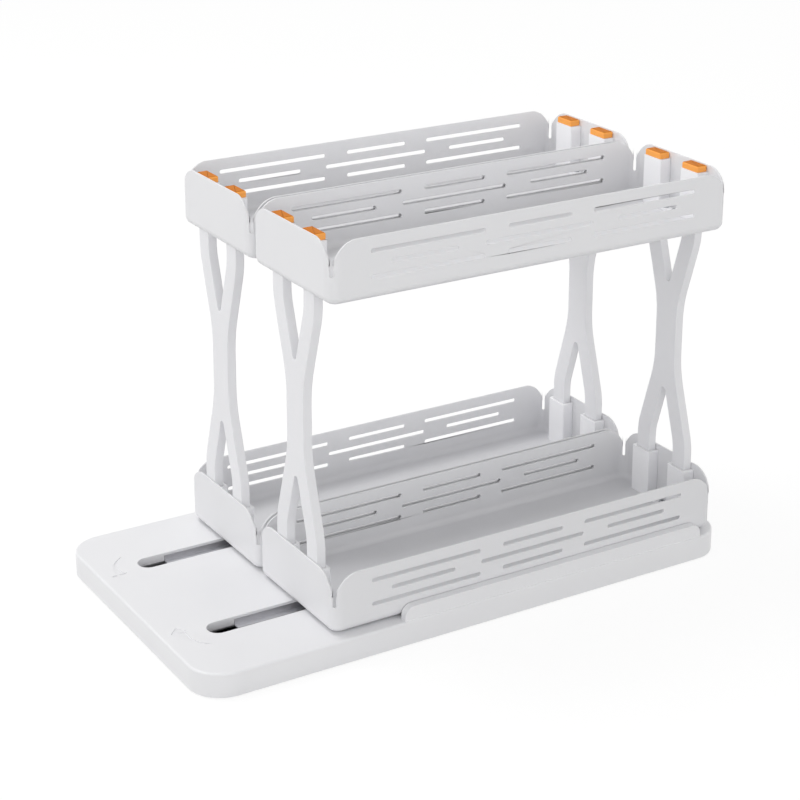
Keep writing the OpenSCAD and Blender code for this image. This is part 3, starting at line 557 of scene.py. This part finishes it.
BOSS_X, BOSS_Y, BOSS_SHARES, COVER_Z = 97, 185, (-1, -0.34, 0.34, 1), 2.0
put_screws("base_screws", [(x, share * BOSS_Y, COVER_Z)
                           for x in (-BOSS_X, 0, BOSS_X) for share in BOSS_SHARES], -1, 5)
TRAYS_Z, TRAY_MID_Y, COLUMN_X = (17.8, 233.6), 42.5, 51.8
STRIP_X, STRIP_Y, STRIP_TOP = 5.2, 142.0, 3.4
for name, sign in (("left_bracket_screws", -1), ("right_bracket_screws", 1)):
    put_screws(name, [(sign * (COLUMN_X + dx), TRAY_MID_Y + end * STRIP_Y, z + STRIP_TOP)
                      for z in TRAYS_Z for end in (-1, 1) for dx in (-STRIP_X, STRIP_X)], 1, STRIP_TOP)
for name in ("rail_screws", "left_pivot_screw", "right_pivot_screw"):
    dress(name, screw_zinc)


# Bottom cover and feet: a grey-white ABS plate screwed under the base, and six round rubber pads
# glued into its recesses, with a rounded rim and two shallow rings that help them grip.
cover_abs = moulded_plastic("moulded pale grey ABS, matt texture", "#DCDCDE", "#D6D6D9", 1.0, 0.012, 0.55)
dress("base_cover", cover_abs)


def foot_rubber():
    """Moulded rubber: dark grey, dull, with a fine dusty grain that breaks up its reflections."""
    rubber = bpy.data.materials.new("moulded dark grey rubber")
    rubber.use_nodes = True
    tree = rubber.node_tree
    skin = tree.nodes["Principled BSDF"]
    skin.inputs["IOR"].default_value = 1.52
    place = add_node(tree, "ShaderNodeTexCoord").outputs["Object"]
    dust = add_node(tree, "ShaderNodeTexNoise", [("vector", place)], scale=1000 / 1.5, detail=4)
    tone = add_node(tree, "ShaderNodeMix", [("factor", dust.outputs[0])], data_type="RGBA",
                    a=rgb("#2E2E30"), b=rgb("#3C3C3E"))
    tree.links.new(tone.outputs["Result"], skin.inputs["Base Color"])
    gloss = add_node(tree, "ShaderNodeMapRange", [("value", dust.outputs[0])], to_min=0.7, to_max=0.9)
    tree.links.new(gloss.outputs[0], skin.inputs["Roughness"])
    bump = add_node(tree, "ShaderNodeBump", [("height", dust.outputs[0])], strength=0.5,
                    distance=0.03 * MM)
    tree.links.new(bump.outputs[0], skin.inputs["Normal"])
    return rubber


# Radius and height of the pad's outline, from its top over the rim to the middle of its sole
FOOT_PROFILE = np.array([(0, 1.6), (6.8, 1.6), (7, 1.4), (7, 0.5), (6.85, 0.15), (6.5, 0), (5.4, 0),
                         (5.1, 0.25), (4.8, 0.25), (4.5, 0), (3.2, 0), (2.9, 0.25), (2.6, 0.25),
                         (2.3, 0), (0, 0)])
FEET_X, FEET_Y = 82, 164
angle = np.linspace(0, 2 * math.pi, 48, endpoint=False)
points, faces = turned(np.repeat(FOOT_PROFILE[:, :1], len(angle), 1), angle, FOOT_PROFILE[:, 1])
places = [(x, y, 0) for x in (-FEET_X, FEET_X) for y in (-FEET_Y, 0, FEET_Y)]
feet = new_mesh("rubber_feet_moulded", *repeated(points, faces, places), 40)
finish_piece(feet, "rubber_feet", foot_rubber())


# Slide and pivot, under each lower tray: a thin steel plate with the pin, a turning shoe and a glide
# ring of white acetal, and a washer and screw that keep the column on its rail.
def acetal():
    """White acetal: waxy and very slightly cloudy, with the fine uneven gloss that turning leaves."""
    wax = bpy.data.materials.new("turned white acetal")
    wax.use_nodes = True
    tree = wax.node_tree
    skin = tree.nodes["Principled BSDF"]
    skin.inputs["IOR"].default_value = 1.48
    place = add_node(tree, "ShaderNodeTexCoord").outputs["Object"]
    cloud = add_node(tree, "ShaderNodeTexNoise", [("vector", place)], scale=1000 / 6, detail=2)
    tone = add_node(tree, "ShaderNodeMix", [("factor", cloud.outputs[0])], data_type="RGBA",
                    a=rgb("#E6E6E2"), b=rgb("#DEDEDA"))
    tree.links.new(tone.outputs["Result"], skin.inputs["Base Color"])
    fine = add_node(tree, "ShaderNodeTexNoise", [("vector", place)], scale=1000 / 0.5, detail=2)
    gloss = add_node(tree, "ShaderNodeMapRange", [("value", fine.outputs[0])], to_min=0.3, to_max=0.42)
    tree.links.new(gloss.outputs[0], skin.inputs["Roughness"])
    return wax


white_acetal = acetal()
for side in ("left", "right"):
    dress(side + "_glide_ring", white_acetal)
    dress(side + "_pivot_shoe", white_acetal)
    dress(side + "_pivot_plate", screw_zinc)
    dress(side + "_retaining_washer", screw_zinc)
